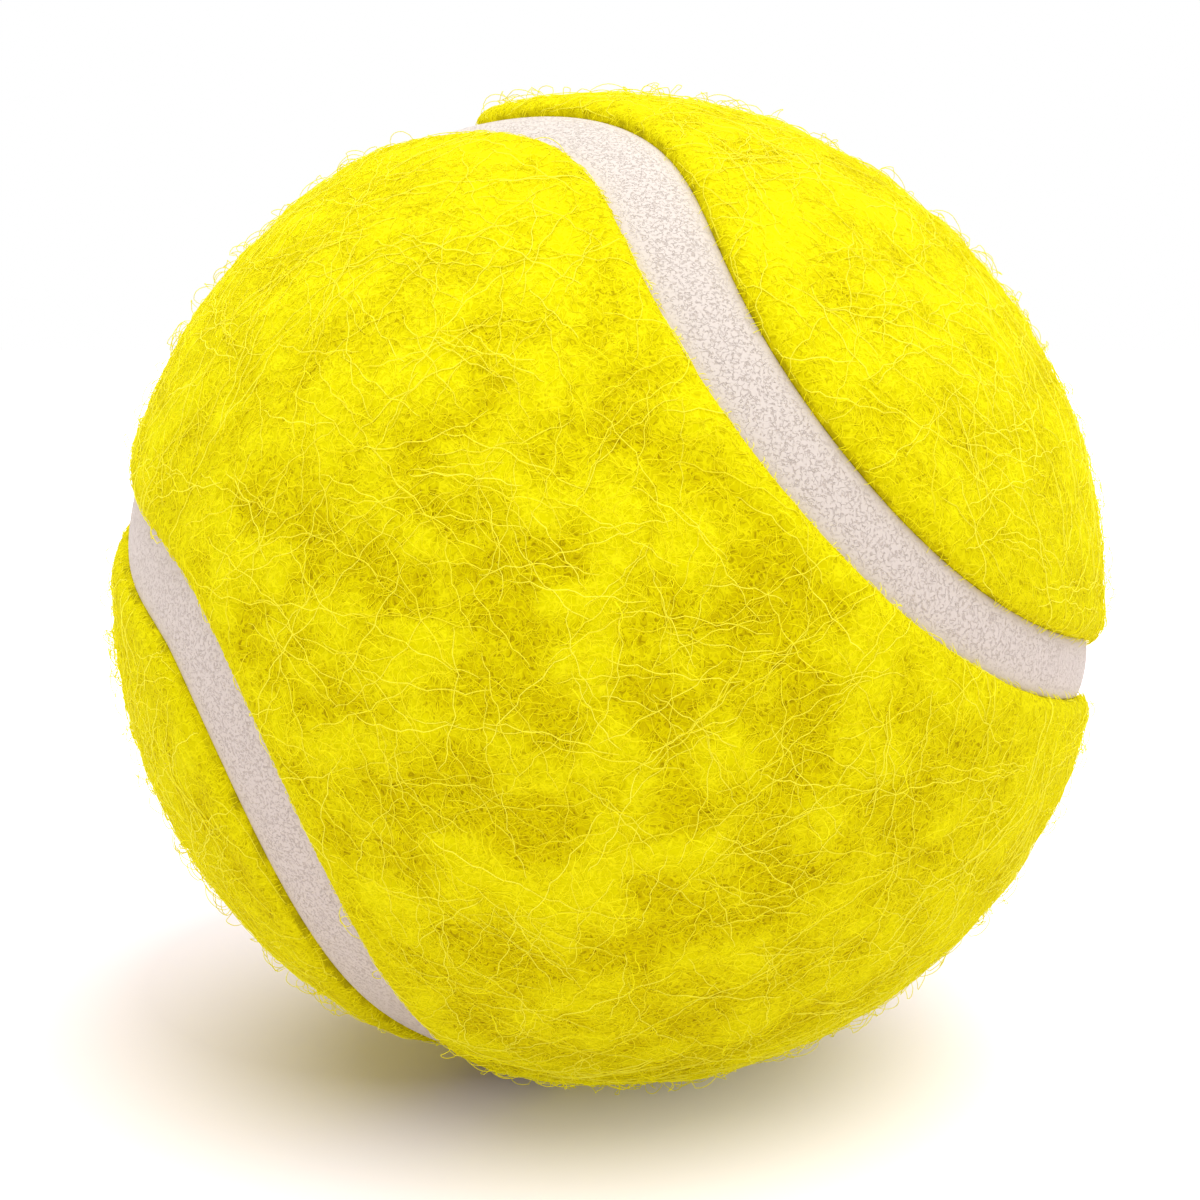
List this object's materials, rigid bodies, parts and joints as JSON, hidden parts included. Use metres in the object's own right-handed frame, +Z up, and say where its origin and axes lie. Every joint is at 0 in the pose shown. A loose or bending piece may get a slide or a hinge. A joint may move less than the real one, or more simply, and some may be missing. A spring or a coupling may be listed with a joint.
{
  "type": "tennis ball",
  "caption": "Hollow rubber play ball covered in interlocked dog-bone panels of fuzzy yellow felt, with a sunken pale rubber seam winding between the panels.",
  "frame": {"origin": "centre of the ball", "axes": "+Z up as the ball lies in the picture, -Y towards the picture's camera, +X to its right; the cover is turned under this frame, so the seam runs as the picture shows it"},
  "size_m": [0.0667, 0.0667, 0.0667],
  "materials": {
    "core_rubber": "matte",
    "cement": "satin",
    "scrim": "matte",
    "nap": "matte",
    "seam": "matte"
  },
  "bodies": {
    "root": {"core_half_lower": "core_rubber", "core_half_upper": "core_rubber", "core_joint_cement": "cement", "cover_cement": "cement", "felt_scrim_a": "scrim", "felt_scrim_b": "scrim", "felt_nap_a": "nap", "felt_nap_b": "nap", "seam_rubber": "seam"}
  },
  "joints": []
}
